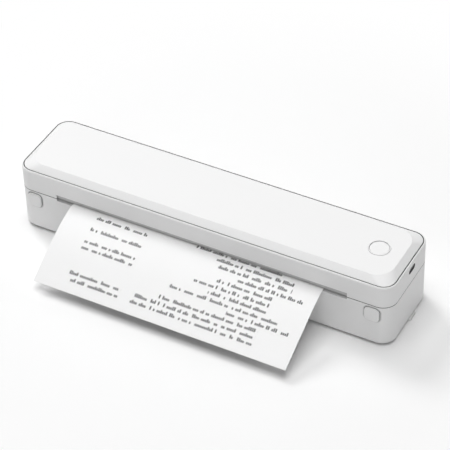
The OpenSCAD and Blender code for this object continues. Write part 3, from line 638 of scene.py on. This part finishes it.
# Ink on the sheet, from the distances in millimetres from its right edge and its free end
def printedInk(finish, fromRight, fromEnd, p):
    def chance(value, seed):
        return finish.node("ShaderNodeTexWhiteNoise", {"noise_dimensions": "1D"},
                           {"W": value + seed})

    rowPlace = (fromEnd - p["firstRow"]) / p["rowPitch"]
    row, inRow = rowPlace.floor(), rowPlace.fraction()
    barPlace = fromRight / p["barPitch"]
    bar, inBar = barPlace.floor(), barPlace.fraction()
    indent = (chance(row, p["indentSeed"]) * p["indents"]).floor() * p["indent"]
    start = p["rightMargin"] + indent
    length = p["shortest"] + chance(row, p["lengthSeed"]) * (p["longest"] - p["shortest"])
    near = (fromRight > start) * (fromRight < start + length)
    far = (fromRight > p["farColumn"]) * (fromRight < p["farColumn"] + p["farLength"])
    far = far * (chance(row, p["farSeed"]) > p["farSkipped"])
    group = finish.node("ShaderNodeTexNoise", {"noise_dimensions": "1D"},
                        {"W": bar * p["groupWaves"] + row * p["groupRowShift"],
                         "Scale": 1.0, "Detail": 0.0})
    tall = chance(bar + row * p["barSeedsPerRow"], p["barSeed"]) > p["shortShare"]
    height = p["shortBar"] + tall * (p["tallBar"] - p["shortBar"])
    band = (inRow > p["barStart"]) * (inRow < p["barStart"] + height)
    page = (row > -0.5) * (row < p["rows"] - 0.5)  # rows are whole numbers
    word = (inBar < p["barWidth"]) * (group > p["groupGap"])
    return near.most(far) * band * page * word


def makePaper(s, p):
    made = Finish("printedPaper", Roughness=s["roughness"])
    place = made.node("ShaderNodeUVMap", {"uv_map": "sheetPlace"})
    ink = printedInk(made, made.part(place, 0) * 1000, made.part(place, 1) * 1000, p)
    fibre = made.noise(s["fibreScale"], s["fibreDetail"])
    white = made.blend(fibre, shade(s["white"], 1 - s["fibreShade"]),
                       shade(s["white"], 1 + s["fibreShade"]))
    made.set(Base_Color=made.blend(ink, white, shade(p["ink"], 1)))
    made.bump(fibre, *s["bump"])
    return made


def makeSheet(s, p):
    low, high = (corner * 1000 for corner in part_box("paper_web"))
    width = high.x - low.x
    line = sheetLine(s)
    spans = len(line) - 1
    run = [0.0]  # the way along the sheet to each point of its line
    for (y0, z0), (y1, z1) in zip(line, line[1:]):
        run.append(run[-1] + math.hypot(y1 - y0, z1 - z0))

    shape = bmesh.new()  # a unit square, which is then laid along the line
    bmesh.ops.create_grid(shape, x_segments=s["columns"], y_segments=spans, size=0.5)
    layer = shape.loops.layers.uv.new("sheetPlace")
    grid = {vert: (vert.co.x + 0.5, round((vert.co.y + 0.5) * spans)) for vert in shape.verts}
    for face in shape.faces:
        face.smooth = True
        for loop in face.loops:
            across, step = grid[loop.vert]
            loop[layer].uv = ((1 - across) * width / 1000, run[step] / 1000)
    free = s["mouth"] - line[0][0]
    for vert, (across, step) in grid.items():
        y, z = line[step]
        out = max(0.0, s["mouth"] - y) / free
        lean = s["twist"] * (1 - 2 * across) * math.sin(math.pi * out)
        vert.co = Vector((low.x + width * across, y, z + lean)) / 1000
    bmesh.ops.recalc_face_normals(shape, faces=shape.faces)
    if sum(face.normal.z for face in shape.faces) < 0:
        bmesh.ops.reverse_faces(shape, faces=shape.faces)

    piece = addShape("paper_sheet", shape, makePaper(s, p))
    body = piece.modifiers.new("thickness", "SOLIDIFY")
    body.thickness, body.offset = s["thickness"] / 1000, 1
    evenFaces(piece)
    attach(piece, nodes["paper_web"]["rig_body"])
    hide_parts("paper_web")


makeSheet(sheet, printing)
print("sheet made")


# Pale floor that fades to plain white away from the object, and soft studio light.
# In metres, and watts for the lamps, which all point at the origin.
studio = {
    "white": (1, 1, 1, 1),
    "floorSize": 4.0,
    "floorColour": (0.97, 0.97, 0.97, 1),
    "floorRoughness": 0.9,
    "fadeFrom": 0.20,
    "fadeTo": 0.36,
    "worldLight": 0.135,
    "backdropLight": 1.0,
    "lamps": {
        "keyLight": {"power": 44.0, "place": (-2.1, 1.1, 2.6), "size": 1.2},
        "topLight": {"power": 74.0, "place": (0.0, 0.0, 3.4), "size": 2.4},
        "frontFill": {"power": 7.2, "place": (0.5, -2.6, 1.3), "size": 1.6},
    },
}


def makeFloor(s):
    finish = Finish("paleFloor", Roughness=s["floorRoughness"], Base_Color=s["floorColour"])
    away = finish.length(finish.spot()).ramp(s["fadeFrom"], s["fadeTo"])
    lit = Signal(finish, finish.shader.outputs[0])
    white = finish.node("ShaderNodeEmission", None,
                        {"Color": s["white"], "Strength": s["backdropLight"]})
    mix = finish.node("ShaderNodeMixShader", None, {0: away * finish.shown(), 1: lit, 2: white})
    finish.feed(finish.tree.nodes["Material Output"].inputs["Surface"], mix)
    shape = bmesh.new()
    bmesh.ops.create_grid(shape, x_segments=1, y_segments=1, size=s["floorSize"])
    floor = addShape("floor", shape, finish)


def makeWorld(s):
    world = bpy.data.worlds.new("studio")
    scene.world = world
    world.use_nodes = True
    world.node_tree.nodes.clear()
    tree = Tree(world.node_tree)
    light, plain = (tree.node("ShaderNodeBackground", None,
                              {"Color": s["white"], "Strength": strength})
                    for strength in (s["worldLight"], s["backdropLight"]))
    mix = tree.node("ShaderNodeMixShader", None, {0: tree.shown(), 1: light, 2: plain})
    tree.node("ShaderNodeOutputWorld", None, {"Surface": mix})


def makeLamp(name, s):
    lamp = bpy.data.lights.new(name, "AREA")
    lamp.energy, lamp.size = s["power"], s["size"]
    made = addObject(name, lamp)
    made.location = s["place"]
    made.rotation_mode = "QUATERNION"
    made.rotation_quaternion = Vector(s["place"]).to_track_quat("Z", "Y")


makeFloor(studio)
makeWorld(studio)
for name, lamp in studio["lamps"].items():
    makeLamp(name, lamp)
scene.view_settings.view_transform = "Standard"
print("studio made")
